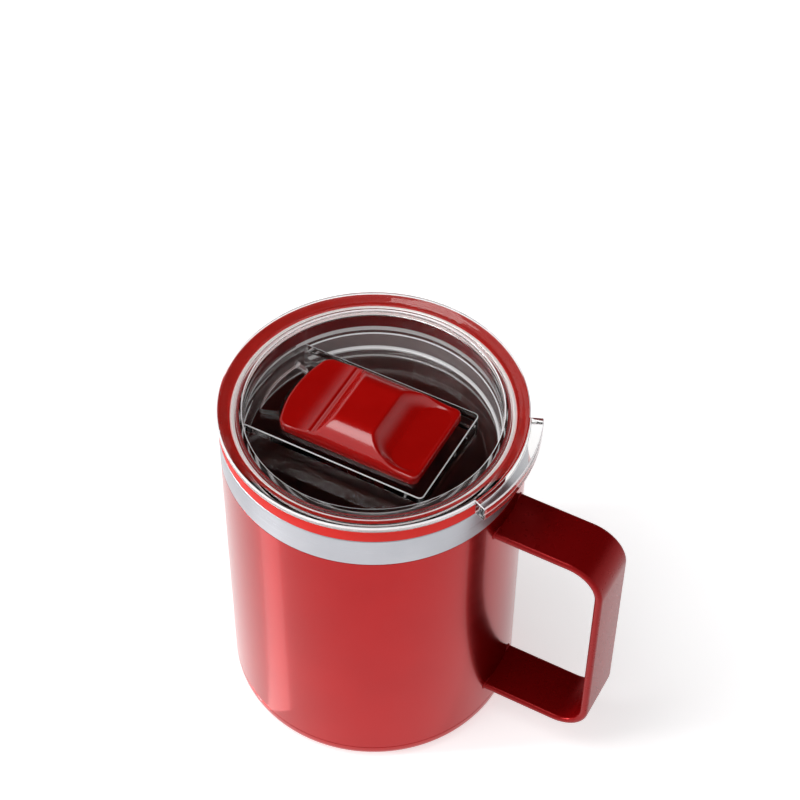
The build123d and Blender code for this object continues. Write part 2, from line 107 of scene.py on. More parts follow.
@dataclass(frozen=True)
class Datum:
    """Heights and radii that the whole mug shares, measured from the frame, in millimetres."""

    body_r: float
    paint_z: float
    rim_z: float
    bore_r: float
    lip_z: float
    gasket_r: float
    flange_r: float
    lid_top: float
    skirt_z: float
    reach_x: float
    base_z: float

    @classmethod
    def measure(cls) -> "Datum":
        """Reads the datums from the frame's boxes.

        Returns:
            The datums in millimetres.
        """
        body = span("rim_collar")
        liner = span("inner_liner")
        gasket = span("rim_gasket")
        plug = span("plug_gasket")
        lid = span("lid_shell")
        return cls(
            body_r=body[1].x,
            paint_z=body[0].z,
            rim_z=body[1].z,
            bore_r=plug[1].x + 0.05,
            lip_z=liner[1].z,
            gasket_r=gasket[1].x,
            flange_r=-lid[0].x,
            lid_top=lid[1].z,
            skirt_z=lid[0].z,
            reach_x=span("handle_strap")[1].x,
            base_z=span("base_shell")[0].z,
        )


def span(node: str) -> tuple[Vector, Vector]:
    """Gives a frame node's box in millimetres.

    Args:
        node: Name of the frame's node.

    Returns:
        The lowest and the highest corner.
    """
    low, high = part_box(node)
    return Vector(low) / MM, Vector(high) / MM


# ---- Outlines and solids ----------------------------------------------------
def rounded(corners: Sequence[Corner], steps: int = ARC_STEPS) -> list[Vector]:
    """Replaces each filleted corner of a closed outline with an arc.

    Args:
        corners: Outline corners in order.
        steps: Chords in each arc.

    Returns:
        Points (a, 0, b) of the finished outline.
    """
    points = []
    count = len(corners)
    for index, corner in enumerate(corners):
        here = Vector((corner.a, corner.b))
        if not corner.fillet:
            points.append(here)
            continue
        before = corners[index - 1]
        after = corners[(index + 1) % count]
        back = (Vector((before.a, before.b)) - here).normalized()
        ahead = (Vector((after.a, after.b)) - here).normalized()
        half = back.angle(ahead) / 2
        centre = here + (back + ahead).normalized() * (corner.fillet / math.sin(half))
        start = here + back * (corner.fillet / math.tan(half)) - centre
        sweep = start.angle_signed(here + ahead * (corner.fillet / math.tan(half)) - centre)
        for step in range(steps + 1):
            angle = -sweep * step / steps
            cosine, sine = math.cos(angle), math.sin(angle)
            spoke = Vector((start.x * cosine - start.y * sine, start.x * sine + start.y * cosine))
            points.append(centre + spoke)
    return [Vector((point.x, 0.0, point.y)) for point in points]


def loop_of(mesh: bmesh.types.BMesh, points: Sequence[Vector]) -> list[bmesh.types.BMEdge]:
    """Adds a closed loop of edges through the points.

    Args:
        mesh: Mesh to add to.
        points: Points in order.

    Returns:
        The new edges.
    """
    verts = [mesh.verts.new(point) for point in points]
    return [mesh.edges.new((verts[i - 1], verts[i])) for i in range(len(verts))]


def turned(corners: Sequence[Corner], steps: int = TURN_STEPS, angle: float = 360.0,
           start: float = 0.0) -> bmesh.types.BMesh:
    """Turns a closed outline about the mug's axis.

    Args:
        corners: Outline of (radius, height).
        steps: Divisions of the turn.
        angle: Angle turned, in degrees.
        start: Angle at which the turn starts, in degrees.

    Returns:
        A closed solid.
    """
    mesh = bmesh.new()
    edges = loop_of(mesh, rounded(corners))
    full = angle >= 360.0
    if not full:
        bmesh.ops.contextual_create(mesh, geom=edges)
    rotation = Matrix.Rotation(math.radians(start), 3, "Z")
    bmesh.ops.rotate(mesh, cent=(0, 0, 0), matrix=rotation, verts=mesh.verts[:])
    geometry = edges + mesh.verts[:] if full else mesh.faces[:] + mesh.edges[:] + mesh.verts[:]
    bmesh.ops.spin(mesh, geom=geometry, cent=(0, 0, 0), axis=(0, 0, 1), dvec=(0, 0, 0),
                   angle=math.radians(angle), steps=steps, use_merge=full, use_duplicate=False)
    return closed_up(mesh)


def closed_up(mesh: bmesh.types.BMesh) -> bmesh.types.BMesh:
    """Merges doubled points, drops what collapsed and turns every face outwards.

    Args:
        mesh: Mesh to tidy.

    Returns:
        The same mesh.
    """
    bmesh.ops.remove_doubles(mesh, verts=mesh.verts[:], dist=WELD_DISTANCE)
    bmesh.ops.dissolve_degenerate(mesh, edges=mesh.edges[:], dist=WELD_DISTANCE)
    bmesh.ops.recalc_face_normals(mesh, faces=mesh.faces[:])
    return mesh


def slab(x_low: float, x_high: float, half_w: float, z_low: float, z_high: float,
         corner: float = 0.0, top_edge: float = 0.0) -> bmesh.types.BMesh:
    """Makes an upright block about the XZ plane.

    Args:
        x_low: Lowest X.
        x_high: Highest X.
        half_w: Half its width in Y.
        z_low: Bottom.
        z_high: Top.
        corner: Radius of its vertical edges.
        top_edge: Radius of its upper edges.

    Returns:
        A closed solid.
    """
    mesh = bmesh.new()
    plan = [Corner(x_low, -half_w, corner), Corner(x_high, -half_w, corner),
            Corner(x_high, half_w, corner), Corner(x_low, half_w, corner)]
    edges = loop_of(mesh, [Vector((p.x, p.z, z_low)) for p in rounded(plan)])
    face = bmesh.ops.contextual_create(mesh, geom=edges)["faces"][0]
    raise_prism(mesh, face, z_high, top_edge)
    return closed_up(mesh)


def raise_prism(mesh: bmesh.types.BMesh, face: bmesh.types.BMFace, z_high: float,
                top_edge: float = 0.0) -> None:
    """Extrudes a flat face up into a prism and rounds its top.

    Args:
        mesh: Mesh that holds the face.
        face: Face in a horizontal plane.
        z_high: Height of the prism's top.
        top_edge: Radius of the upper edges.
    """
    z_low = face.calc_center_median().z
    rise = z_high - z_low
    result = bmesh.ops.extrude_face_region(mesh, geom=[face])
    top = [item for item in result["geom"] if isinstance(item, bmesh.types.BMVert)]
    bmesh.ops.translate(mesh, verts=top, vec=(0, 0, rise))
    lid = next(f for f in mesh.faces if all(abs(v.co.z - z_high) < WELD_DISTANCE for v in f.verts))
    if top_edge:
        bmesh.ops.bevel(mesh, geom=lid.edges[:], offset=top_edge, offset_type="OFFSET", segments=3,
                        profile=0.5, affect="EDGES", material=-1)


def arc_block(r_in: float, r_out: float, half_angle: float, z_low: float, z_high: float,
              corner: float = 0.0, centre_x: float = 0.0) -> bmesh.types.BMesh:
    """Makes an upright arc-shaped block on the drinking side.

    Args:
        r_in: Inner radius.
        r_out: Outer radius.
        half_angle: Half the arc, in degrees.
        z_low: Bottom.
        z_high: Top.
        corner: Radius of the four vertical edges.
        centre_x: X of the arc's centre.

    Returns:
        A closed solid.
    """
    outline = []
    for radius, sign in ((r_in, 1), (r_out, -1)):
        for step in range(BLOCK_STEPS + 1):
            share = sign * (2 * step / BLOCK_STEPS - 1)
            angle = math.pi + math.radians(half_angle) * share
            across = radius * math.sin(angle)
            outline.append(Vector((centre_x + radius * math.cos(angle), across, z_low)))
    mesh = bmesh.new()
    face = bmesh.ops.contextual_create(mesh, geom=loop_of(mesh, outline))["faces"][0]
    if corner:
        sharp = [v for v in face.verts if v.calc_edge_angle(0.0) > math.radians(SHARP_TURN)] or [
            v for v in face.verts if turn_at(v, face) > math.radians(SHARP_TURN)]
        bmesh.ops.bevel(mesh, geom=sharp, offset=corner, offset_type="OFFSET", segments=ARC_STEPS,
                        profile=0.5, affect="VERTICES", material=-1)
        face = mesh.faces[:][0]
    raise_prism(mesh, face, z_high)
    return closed_up(mesh)


def drum(radius: float, z_low: float, z_high: float) -> bmesh.types.BMesh:
    """Makes an upright cylinder about the mug's axis.

    Args:
        radius: Its radius.
        z_low: Bottom.
        z_high: Top.

    Returns:
        A closed solid.
    """
    return turned([Corner(0, z_low), Corner(radius, z_low), Corner(radius, z_high), Corner(0, z_high)],
                  DRUM_STEPS)


def turn_at(vert: bmesh.types.BMVert, face: bmesh.types.BMFace) -> float:
    """Gives how far a face's outline turns at one of its points, in radians."""
    loop = next(item for item in face.loops if item.vert is vert)
    before = vert.co - loop.link_loop_prev.vert.co
    after = loop.link_loop_next.vert.co - vert.co
    return before.angle(after, 0.0)


def combine(base: bmesh.types.BMesh, tool: bmesh.types.BMesh, cut: Cut) -> bmesh.types.BMesh:
    """Adds a solid to another, or takes it away.

    Args:
        base: Solid being worked.
        tool: Solid that acts on it.
        cut: What the tool does.

    Returns:
        The resulting solid. Both inputs are freed.
    """
    holders = []
    for name, solid in (("work", base), ("tool", tool)):
        data = bpy.data.meshes.new(name)
        solid.to_mesh(data)
        solid.free()
        holder = bpy.data.objects.new(name, data)
        bpy.context.scene.collection.objects.link(holder)
        holders.append(holder)
    work, other = holders
    modifier = work.modifiers.new("cut", "BOOLEAN")
    modifier.operation = cut.value
    modifier.solver = "EXACT"
    modifier.object = other
    graph = bpy.context.evaluated_depsgraph_get()
    result = bmesh.new()
    result.from_mesh(bpy.data.meshes.new_from_object(work.evaluated_get(graph)))
    for holder in holders:
        bpy.data.objects.remove(holder)
    bmesh.ops.remove_doubles(result, verts=result.verts[:], dist=WELD_DISTANCE)
    return result


def joined(parts: Sequence[bmesh.types.BMesh]) -> bmesh.types.BMesh:
    """Puts several closed solids in one mesh.

    Args:
        parts: Solids, which are freed.

    Returns:
        One mesh that holds them all.
    """
    whole = bmesh.new()
    for part in parts:
        data = bpy.data.meshes.new("part")
        part.to_mesh(data)
        part.free()
        whole.from_mesh(data)
        bpy.data.meshes.remove(data)
    return whole


def finished(mesh: bmesh.types.BMesh, name: str, material: bpy.types.Material, body: str,
             nodes: Sequence[str], crease: float = 32.0) -> bpy.types.Object:
    """Turns a worked mesh into a piece in metres and registers it with the frame.

    Args:
        mesh: Worked mesh in millimetres, which is freed.
        name: Name of the piece.
        material: Its material.
        body: Body that it rides on.
        nodes: Frame nodes that it stands for.
        crease: Angle above which an edge stays sharp, in degrees.

    Returns:
        The piece.
    """
    bmesh.ops.scale(mesh, vec=(MM, MM, MM), verts=mesh.verts[:])
    data = bpy.data.meshes.new(name)
    mesh.to_mesh(data)
    mesh.free()
    data.shade_smooth()
    data.set_sharp_from_angle(angle=math.radians(crease))
    data.materials.append(material)
    piece = bpy.data.objects.new(name, data)
    bpy.context.scene.collection.objects.link(piece)
    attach(piece, body)
    if nodes:
        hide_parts(*nodes)
    LOG.info("%s: %d faces on %s", name, len(data.polygons), body)
    return piece


# ---- Finishes ---------------------------------------------------------------
@dataclass(frozen=True)
class Finish:
    """A surface whose colour, gloss and relief vary a little over the piece.

    Attributes:
        name: Name of the material.
        colour: Main colour, linear RGB.
        shade: Colour of its darker patches.
        metal: Metallic share.
        gloss: Lowest and highest roughness.
        grain: Direction of the brushing.
        patch: Scale of the colour patches, per metre.
        relief: Height of the grain's bump, in metres.
        coat: Weight of a clear coat.
        coat_rough: Roughness of the clear coat.
        sheen: Weight of a soft sheen.
        seen_through: Share of light that goes through.
        ior: Refractive index.
        anisotropy: Stretch of highlights across the brushing.
        specular: Specular level.
        glow: Strength of its own light, in the main colour.
    """

    name: str
    colour: tuple[float, float, float]
    shade: tuple[float, float, float]
    metal: float = 0.0
    gloss: tuple[float, float] = (0.3, 0.4)
    grain: Grain = Grain.NONE
    patch: float = 40.0
    relief: float = 0.0
    coat: float = 0.0
    coat_rough: float = 0.03
    sheen: float = 0.0
    seen_through: float = 0.0
    ior: float = 1.5
    anisotropy: float = 0.0
    specular: float = 0.5
    glow: float = 0.0

    def material(self) -> bpy.types.Material:
        """Builds the node material.

        Returns:
            The material.
        """
        made = bpy.data.materials.new(self.name)
        made.use_nodes = True
        tree = made.node_tree
        shader = tree.nodes["Principled BSDF"]
        self.set_constants(shader)
        place = tree.nodes.new("ShaderNodeTexCoord")
        patches = tree.nodes.new("ShaderNodeTexNoise")
        patches.inputs["Scale"].default_value = self.patch
        patches.inputs["Detail"].default_value = 4.0
        tree.links.new(place.outputs["Object"], patches.inputs["Vector"])
        tree.links.new(self.colour_of(tree, patches.outputs["Fac"]), shader.inputs["Base Color"])
        grain = self.grain_of(tree, place.outputs["Object"])
        spread = tree.nodes.new("ShaderNodeMapRange")
        spread.inputs["From Min"].default_value = 0.3
        spread.inputs["From Max"].default_value = 0.7
        spread.inputs["To Min"].default_value = self.gloss[0]
        spread.inputs["To Max"].default_value = self.gloss[1]
        tree.links.new(grain, spread.inputs["Value"])
        tree.links.new(spread.outputs["Result"], shader.inputs["Roughness"])
        if self.relief:
            bump = tree.nodes.new("ShaderNodeBump")
            bump.inputs["Strength"].default_value = 1.0
            bump.inputs["Distance"].default_value = self.relief
            tree.links.new(grain, bump.inputs["Height"])
            tree.links.new(bump.outputs["Normal"], shader.inputs["Normal"])
        if self.anisotropy:
            tangent = tree.nodes.new("ShaderNodeTangent")
            tangent.direction_type = "RADIAL"
            tangent.axis = "Z"
            tree.links.new(tangent.outputs["Tangent"], shader.inputs["Tangent"])
        return made

    def set_constants(self, shader: bpy.types.Node) -> None:
        """Sets what is the same all over the surface."""
        values = {
            "Metallic": self.metal,
            "Coat Weight": self.coat,
            "Coat Roughness": self.coat_rough,
            "Sheen Weight": self.sheen,
            "Transmission Weight": self.seen_through,
            "IOR": self.ior,
            "Anisotropic": self.anisotropy,
            "Specular IOR Level": self.specular,
            "Emission Color": (*self.colour, 1.0),
            "Emission Strength": self.glow,
        }
        for socket, value in values.items():
            shader.inputs[socket].default_value = value

    def colour_of(self, tree: bpy.types.NodeTree, fac: bpy.types.NodeSocket) -> bpy.types.NodeSocket:
        """Mixes the main colour with its darker shade.

        Args:
            tree: Tree to add to.
            fac: Pattern that mixes them.

        Returns:
            The mixed colour.
        """
        ramp = tree.nodes.new("ShaderNodeValToRGB")
        ramp.color_ramp.elements[0].position = 0.35
        ramp.color_ramp.elements[0].color = (*self.shade, 1.0)
        ramp.color_ramp.elements[1].position = 0.65
        ramp.color_ramp.elements[1].color = (*self.colour, 1.0)
        tree.links.new(fac, ramp.inputs["Fac"])
        return ramp.outputs["Color"]

    def grain_of(self, tree: bpy.types.NodeTree, place: bpy.types.NodeSocket) -> bpy.types.NodeSocket:
        """Adds the fine grain of the surface.

        Args:
            tree: Tree to add to.
            place: Object coordinates.

        Returns:
            The grain's value, from 0 to 1.
        """
        stretch = tree.nodes.new("ShaderNodeMapping")
        stretch.inputs["Scale"].default_value = self.grain.value
        noise = tree.nodes.new("ShaderNodeTexNoise")
        noise.inputs["Scale"].default_value = 9.0
        noise.inputs["Detail"].default_value = 2.0
        noise.inputs["Roughness"].default_value = 0.6
        tree.links.new(place, stretch.inputs["Vector"])
        tree.links.new(stretch.outputs["Vector"], noise.inputs["Vector"])
        return noise.outputs["Fac"]


PAINT = Finish("candy_red_paint", (0.385, 0.003, 0.004), (0.36, 0.002, 0.003), metal=0.92,
               gloss=(0.15, 0.20), grain=Grain.AROUND, relief=1.5e-6, coat=0.22, coat_rough=0.04,
               anisotropy=0.85)
# Painted shade: the handle and its weld beads wear a darker, less metallic copy of the body's red
# paint, standing in for the handle's shade.
SHADED_HANDLE_PAINT = Finish("candy_red_handle_paint_painted_shade", (0.27, 0.002, 0.003), (0.24, 0.002, 0.002), metal=0.4,
                      gloss=(0.27, 0.29), specular=0.2)
BAND_STEEL = Finish("brushed_band_steel", (0.46, 0.47, 0.50), (0.40, 0.41, 0.44), metal=1.0,
                    gloss=(0.26, 0.42), grain=Grain.AROUND, relief=4e-6, anisotropy=0.6)
# Painted highlight: the rolled steel lip is coloured near white and glows, standing in for the lamps'
# highlight along the ring.
PAINTED_HIGHLIGHT_LIP = Finish("rolled_lip_painted_highlight", (0.92, 0.88, 0.87), (0.86, 0.82, 0.81), metal=0.45,
                   gloss=(0.30, 0.45), grain=Grain.AROUND, relief=2e-6, glow=0.42)
# Painted shade: the steel inside of the cup is coloured dark brown-red with no specular reflection,
# standing in for the shade inside the closed mug.
PAINTED_SHADE_LINING = Finish("painted_shade_cup_lining", (0.22, 0.055, 0.045), (0.18, 0.044, 0.036), metal=0.0,
                     gloss=(0.75, 0.85), grain=Grain.AROUND, relief=3e-6, specular=0.0)
# Painted light: the rim seal glows in its own red, brightening it where it shows under the clear
# flange.
SEAL = Finish("red_seal_silicone_painted_glow", (0.50, 0.020, 0.016), (0.46, 0.016, 0.012), gloss=(0.32, 0.45),
              patch=120.0, relief=3e-6, specular=0.05, glow=0.25)
PLUG_SEAL = Finish("red_plug_silicone", (0.36, 0.010, 0.012), (0.30, 0.008, 0.010), gloss=(0.35, 0.5),
                   patch=120.0, relief=3e-6, sheen=0.1)
PAD = Finish("dark_base_silicone", (0.16, 0.012, 0.012), (0.12, 0.010, 0.010), gloss=(0.55, 0.7),
             patch=200.0, relief=8e-6, sheen=0.2)
CLEAR = Finish("clear_lid_plastic", (0.97, 0.97, 0.96), (0.95, 0.95, 0.94), gloss=(0.0, 0.01),
               patch=60.0, seen_through=1.0, ior=1.49)
# Painted reflection: the clear lid's outer upright walls get a pinkish tint and a diffuse share,
# standing in for the red parts reflected in them.
CLEAR_WALL_PAINTED_REFLECTION = Finish("clear_wall_painted_reflection", (0.97, 0.89, 0.88), (0.94, 0.86, 0.85), gloss=(0.03, 0.08),
                    patch=60.0, seen_through=0.80, ior=1.49)
# Painted highlight: the clear lid's rounded edges and wall tops are whitish, half opaque and glow,
# standing in for bright edge reflections.
CLEAR_EDGE_PAINTED_HIGHLIGHT = Finish("clear_edge_painted_highlight", (0.96, 0.95, 0.96), (0.93, 0.92, 0.93), gloss=(0.05, 0.10),
                    patch=60.0, seen_through=0.45, ior=1.49, glow=0.2)
SHUTTER = Finish("gloss_red_shutter", (0.45, 0.003, 0.002), (0.40, 0.002, 0.001), gloss=(0.16, 0.22),
                 patch=60.0, relief=1.5e-6, coat=0.5, coat_rough=0.05)
FOIL = Finish("copper_foil", (0.75, 0.42, 0.28), (0.62, 0.32, 0.2), metal=1.0, gloss=(0.2, 0.4),
              patch=300.0, relief=3e-5)
SOLDER = Finish("dull_solder", (0.52, 0.53, 0.55), (0.4, 0.41, 0.43), metal=1.0, gloss=(0.4, 0.6),
                patch=400.0, relief=2e-5)
SATIN_STEEL = Finish("satin_steel", (0.56, 0.57, 0.59), (0.5, 0.51, 0.53), metal=1.0,
                     gloss=(0.28, 0.4), grain=Grain.ALONG, relief=3e-6)
GETTER = Finish("sintered_getter", (0.10, 0.10, 0.11), (0.05, 0.05, 0.055), metal=0.5,
                gloss=(0.7, 0.9), patch=900.0, relief=3e-5)


@dataclass
class Palette:
    """The mug's materials, made once each."""

    made: dict[str, bpy.types.Material] = field(default_factory=dict)

    def of(self, finish: Finish) -> bpy.types.Material:
        """Gives a finish's material, making it at first use.

        Args:
            finish: The finish wanted.

        Returns:
            Its material.
        """
        if finish.name not in self.made:
            self.made[finish.name] = finish.material()
        return self.made[finish.name]


# ---- Steel body -------------------------------------------------------------
@dataclass
class SteelBody:
    """The welded steel body: shell, mouth band, liner, base and what the vacuum gap hides."""

    at: Datum
    paint: Palette
    sheet: float = 0.6
    shoulder: float = 0.8
    lip_roll: float = 1.2
    floor_z: float = 8.5
    floor_corner: float = 6.0
    seam_z: float = 6.0
    seam: float = 0.14
    paint_edge: float = 0.05
    rim_edge: float = 0.5
    painted_highlight_depth: float = 2.0
    base_corner: float = 3.4
    port_r: float = 1.2
    recess_r: float = 12.0
    recess_rise: float = 1.8
    recess_edge: float = 0.4
    pad_r: float = 40.8
    pad_edge: float = 0.3
    pad_rings: int = 5
    first_ring: float = 4.0
    ring_margin: float = 6.0
    ring_depth: float = 0.3
    ring_slope: float = 0.4
    ring_w: float = 1.6
    pad_steps: int = 160

    def build(self) -> None:
        """Makes every piece of the body."""
        self.shell()
        self.base_cup()
        self.mouth_band()
        self.cup_lining()
        self.base_pad()
        self.dress_hidden()

    def shell(self) -> None:
        """Painted shell, with a fine break at the paint line and at the base seam."""
        r_out = self.at.body_r
        r_in = r_out - self.sheet
        mesh = turned([
            Corner(r_in, self.seam_z), Corner(r_out - self.seam, self.seam_z),
            Corner(r_out, self.seam_z + self.seam),
            Corner(r_out, self.at.paint_z - self.seam, self.paint_edge),
            Corner(r_out - self.seam, self.at.paint_z), Corner(r_in, self.at.paint_z),
        ])
        finished(mesh, "painted_shell", self.paint.of(PAINT), "mug", ["outer_shell"])

    def base_cup(self) -> None:
        """Bottom cup with a rolled corner and the recess of the evacuation port."""
        low = self.at.base_z
        r_out = self.at.body_r
        r_in = r_out - self.sheet
        rise = low + self.recess_rise
        step = self.recess_r + self.sheet
        mesh = turned([
            Corner(self.port_r, rise), Corner(self.recess_r, rise),
            Corner(self.recess_r, low, self.recess_edge),
            Corner(r_out, low, self.base_corner), Corner(r_out, self.seam_z - self.seam),
            Corner(r_out - self.seam, self.seam_z), Corner(r_in, self.seam_z),
            Corner(r_in, low + self.sheet, self.base_corner - self.sheet),
            Corner(step, low + self.sheet), Corner(step, rise + self.sheet),
            Corner(self.port_r, rise + self.sheet),
        ])
        finished(mesh, "base_cup", self.paint.of(PAINT), "mug", ["base_shell"])

    def mouth_band(self) -> None:
        """Bare brushed band with the flat shoulder."""
        r_out = self.at.body_r
        r_bore = self.at.bore_r + self.sheet
        mesh = turned([
            Corner(r_out - self.sheet, self.at.paint_z), Corner(r_out - self.seam, self.at.paint_z),
            Corner(r_out, self.at.paint_z + self.seam), Corner(r_out, self.at.rim_z, self.rim_edge),
            Corner(r_bore, self.at.rim_z), Corner(r_bore, self.at.rim_z - self.shoulder),
            Corner(r_out - self.sheet, self.at.rim_z - self.shoulder),
        ])
        finished(mesh, "mouth_band", self.paint.of(BAND_STEEL), "mug", ["rim_collar"])

    def cup_lining(self) -> None:
        """Liner: a rolled lip coloured near white and glowing as a painted highlight, above a cup
        coloured dark brown-red as painted shade, with a soft floor corner.
        """
        r_in = self.at.bore_r
        r_out = r_in + self.sheet
        roll = self.lip_roll / 2 - 0.02
        under = self.floor_z - self.sheet
        mesh = turned([
            Corner(0, under), Corner(r_out, under, self.floor_corner + self.sheet),
            Corner(r_out, self.at.rim_z), Corner(r_in + self.lip_roll, self.at.rim_z),
            Corner(r_in + self.lip_roll, self.at.lip_z, roll), Corner(r_in, self.at.lip_z, roll),
            Corner(r_in, self.at.rim_z - self.painted_highlight_depth),
            Corner(r_in, self.floor_z, self.floor_corner), Corner(0, self.floor_z),
        ])
        piece = finished(mesh, "cup_lining", self.paint.of(PAINTED_SHADE_LINING), "mug", ["inner_liner"])
        # Faces above this depth get the near-white glowing lip material, a painted highlight; the cup
        # below keeps its painted shade.
        piece.data.materials.append(self.paint.of(PAINTED_HIGHLIGHT_LIP))
        for face in piece.data.polygons:
            if face.center.z > (self.at.rim_z - self.painted_highlight_depth - 0.1) * MM:
                face.material_index = 1

    def base_pad(self) -> None:
        """Silicone disc with shallow moulded rings underneath."""
        top = self.at.base_z
        outline = [Corner(0, top), Corner(0, 0)]
        pitch = (self.pad_r - self.ring_margin) / self.pad_rings
        for ring in range(self.pad_rings):
            r_low = self.first_ring + ring * pitch
            r_high = r_low + self.ring_w
            outline += [Corner(r_low, 0), Corner(r_low + self.ring_slope, self.ring_depth),
                        Corner(r_high - self.ring_slope, self.ring_depth), Corner(r_high, 0)]
        outline += [Corner(self.pad_r, 0, self.pad_edge), Corner(self.pad_r, top)]
        finished(turned(outline, self.pad_steps), "base_pad_mat", self.paint.of(PAD), "mug",
                 ["base_pad"])

    def dress_hidden(self) -> None:
        """Gives the sealed inner nodes their finishes."""
        hidden = {"foil_wrap": FOIL, "port_bead": SOLDER, "port_cover": SATIN_STEEL,
                  "getter_pellet": GETTER, "getter_clip": SATIN_STEEL}
        for node, finish in hidden.items():
            dress(node, self.paint.of(finish))


def dress(node: str, material: bpy.types.Material) -> None:
    """Puts a material on every slot of a frame node.

    Args:
        node: Name of the node.
        material: Its new material.
    """
    for slot in bpy.data.objects[node].material_slots:
        slot.material = material
    LOG.info("%s dressed", node)


@dataclass
class Handle:
    """Flat strap bent twice, with a weld bead round each root."""

    at: Datum
    paint: Palette
    thick: float = 2.5
    width: float = 18.0
    edge: float = 1.05
    bend: float = 11.5
    bead: float = 0.8
    inset: float = 1.3
    bend_steps: int = 20

    def build(self) -> None:
        """Makes the strap and its two weld beads."""
        low, high = span("handle_strap")
        top = high.z - self.thick / 2
        bottom = low.z + self.thick / 2
        self.strap(top, bottom)
        self.weld(top, "weld_bead_upper", "handle_weld_upper")
        self.weld(bottom, "weld_bead_lower", "handle_weld_lower")

    def section(self) -> list[Vector]:
        """Gives the strap's cross-section, with its width in X and its thickness in Z."""
        half_w, half_t = self.width / 2, self.thick / 2
        return rounded([Corner(-half_w, -half_t, self.edge), Corner(half_w, -half_t, self.edge),
                        Corner(half_w, half_t, self.edge), Corner(-half_w, half_t, self.edge)])

    def strap(self, top: float, bottom: float) -> None:
        """Runs the strap's section out, round a bend, down, round a bend and back.

        Args:
            top: Height of the upper arm's middle.
            bottom: Height of the lower arm's middle.
        """
        half_t = self.thick / 2
        root = self.at.body_r - self.inset
        grip = self.at.reach_x - half_t
        radius = self.bend - half_t
        mesh = bmesh.new()
        edges = loop_of(mesh, [Vector((root, p.x, top + p.z)) for p in self.section()])
        bmesh.ops.contextual_create(mesh, geom=edges)
        edges = self.run(mesh, edges, Vector((grip - radius - root, 0, 0)))
        edges = self.turn(mesh, edges, Vector((grip - radius, 0, top - radius)))
        edges = self.run(mesh, edges, Vector((0, 0, bottom + radius - (top - radius))))
        edges = self.turn(mesh, edges, Vector((grip - radius, 0, bottom + radius)))
        edges = self.run(mesh, edges, Vector((root - (grip - radius), 0, 0)))
        bmesh.ops.contextual_create(mesh, geom=edges)
        finished(closed_up(mesh), "handle_grip", self.paint.of(SHADED_HANDLE_PAINT), "mug", ["handle_strap"],
                 40.0)

    @staticmethod
    def run(mesh: bmesh.types.BMesh, edges: list, move: Vector) -> list:
        """Extrudes the open end straight.

        Args:
            mesh: Mesh being made.
            edges: Edges of its open end.
            move: How far and where.

        Returns:
            Edges of the new open end.
        """
        result = bmesh.ops.extrude_edge_only(mesh, edges=edges)["geom"]
        verts = [item for item in result if isinstance(item, bmesh.types.BMVert)]
        bmesh.ops.translate(mesh, verts=verts, vec=move)
        return [item for item in result if isinstance(item, bmesh.types.BMEdge)
                and all(v in verts for v in item.verts)]

    def turn(self, mesh: bmesh.types.BMesh, edges: list, centre: Vector) -> list:
        """Turns the open end a quarter round a centre, about +Y.

        Args:
            mesh: Mesh being made.
            edges: Edges of its open end.
            centre: Centre of the bend.

        Returns:
            Edges of the new open end.
        """
        verts = list({v for edge in edges for v in edge.verts})
        result = bmesh.ops.spin(mesh, geom=verts + edges, cent=centre, axis=(0, 1, 0), dvec=(0, 0, 0),
                                angle=math.pi / 2, steps=self.bend_steps, use_merge=False,
                                use_duplicate=False)
        return [item for item in result["geom_last"] if isinstance(item, bmesh.types.BMEdge)]

    def weld(self, height: float, name: str, node: str) -> None:
        """Lays a weld bead round one root, on the body's curve.

        Args:
            height: Height of the arm's middle.
            name: Name of the piece.
            node: Frame node that it stands for.
        """
        curve = bpy.data.curves.new(name, "CURVE")
        curve.dimensions = "3D"
        curve.bevel_depth = self.bead / 2
        curve.bevel_resolution = 4
        points = self.section()
        path = curve.splines.new("NURBS")
        path.points.add(len(points) - 1)
        for knot, point in zip(path.points, points):
            x = math.sqrt(self.at.body_r ** 2 - point.x ** 2)
            knot.co = (x, point.x, height + point.z, 1.0)
        path.order_u = 3
        path.use_cyclic_u = True
        holder = bpy.data.objects.new(name, curve)
        mesh = bmesh.new()
        mesh.from_mesh(bpy.data.meshes.new_from_object(holder))
        bpy.data.objects.remove(holder)
        finished(closed_up(mesh), name, self.paint.of(SHADED_HANDLE_PAINT), "mug", [node], 60.0)


